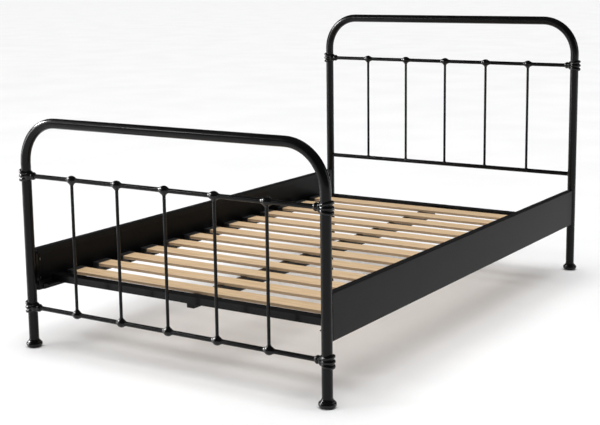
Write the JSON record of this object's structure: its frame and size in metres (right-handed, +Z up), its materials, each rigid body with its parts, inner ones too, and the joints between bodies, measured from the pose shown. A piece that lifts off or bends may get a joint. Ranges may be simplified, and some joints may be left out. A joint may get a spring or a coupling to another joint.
{
  "type": "bed frame",
  "caption": "Metal bed frame with bent-tube head and foot ends, upright rods with cast knuckles, ringed cast collars, bowl feet, deep side rails and a slatted base.",
  "frame": {"origin": "on the floor, under the middle of the bed", "axes": "+X across the bed to the right as seen from the footboard, +Y along the bed from the footboard to the headboard, +Z up"},
  "size_m": [1.293, 2.108, 1.1095],
  "materials": {
    "gloss_black_coat": "semi-gloss black powder coat on steel tube and cast fittings",
    "satin_black_coat": "satin black powder coat on folded steel sheet",
    "zinc_plate": "bright zinc plating",
    "black_plastic": "matt moulded black plastic",
    "slat_wood": "pale birch plywood, lightly sealed"
  },
  "bodies": {
    "root": {"beam_hangers": "gloss_black_coat", "centre_beam": "gloss_black_coat", "centre_leg": "gloss_black_coat", "centre_leg_foot": "black_plastic", "centre_leg_screws": "zinc_plate", "foot_cross_rail": "gloss_black_coat", "foot_glides": "black_plastic", "footboard_foot_left": "gloss_black_coat", "footboard_foot_right": "gloss_black_coat", "footboard_hoop": "gloss_black_coat", "footboard_lower_collar_left": "gloss_black_coat", "footboard_lower_collar_right": "gloss_black_coat", "footboard_lower_knuckles": "gloss_black_coat", "footboard_lower_rail": "gloss_black_coat", "footboard_spindle_1": "gloss_black_coat", "footboard_spindle_2": "gloss_black_coat", "footboard_spindle_3": "gloss_black_coat", "footboard_spindle_4": "gloss_black_coat", "footboard_spindle_5": "gloss_black_coat", "footboard_upper_collar_left": "gloss_black_coat", "footboard_upper_collar_right": "gloss_black_coat", "footboard_upper_knuckles": "gloss_black_coat", "footboard_upper_rail": "gloss_black_coat", "frame_bolts": "zinc_plate", "head_cross_rail": "gloss_black_coat", "headboard_collar_left": "gloss_black_coat", "headboard_collar_right": "gloss_black_coat", "headboard_foot_left": "gloss_black_coat", "headboard_foot_right": "gloss_black_coat", "headboard_hoop": "gloss_black_coat", "headboard_knuckles": "gloss_black_coat", "headboard_lower_rail": "gloss_black_coat", "headboard_spindle_1": "gloss_black_coat", "headboard_spindle_2": "gloss_black_coat", "headboard_spindle_3": "gloss_black_coat", "headboard_spindle_4": "gloss_black_coat", "headboard_spindle_5": "gloss_black_coat", "headboard_upper_rail": "gloss_black_coat", "rail_bolts": "zinc_plate", "rail_brackets": "gloss_black_coat", "rail_end_plates": "gloss_black_coat", "side_rail_left": "satin_black_coat", "side_rail_right": "satin_black_coat", "slat_01": "slat_wood", "slat_02": "slat_wood", "slat_03": "slat_wood", "slat_04": "slat_wood", "slat_05": "slat_wood", "slat_06": "slat_wood", "slat_07": "slat_wood", "slat_08": "slat_wood", "slat_09": "slat_wood", "slat_10": "slat_wood", "slat_11": "slat_wood", "slat_12": "slat_wood", "slat_13": "slat_wood", "slat_holders": "black_plastic", "slat_ledge_left": "gloss_black_coat", "slat_ledge_right": "gloss_black_coat", "threaded_inserts": "zinc_plate"}
  },
  "joints": []
}
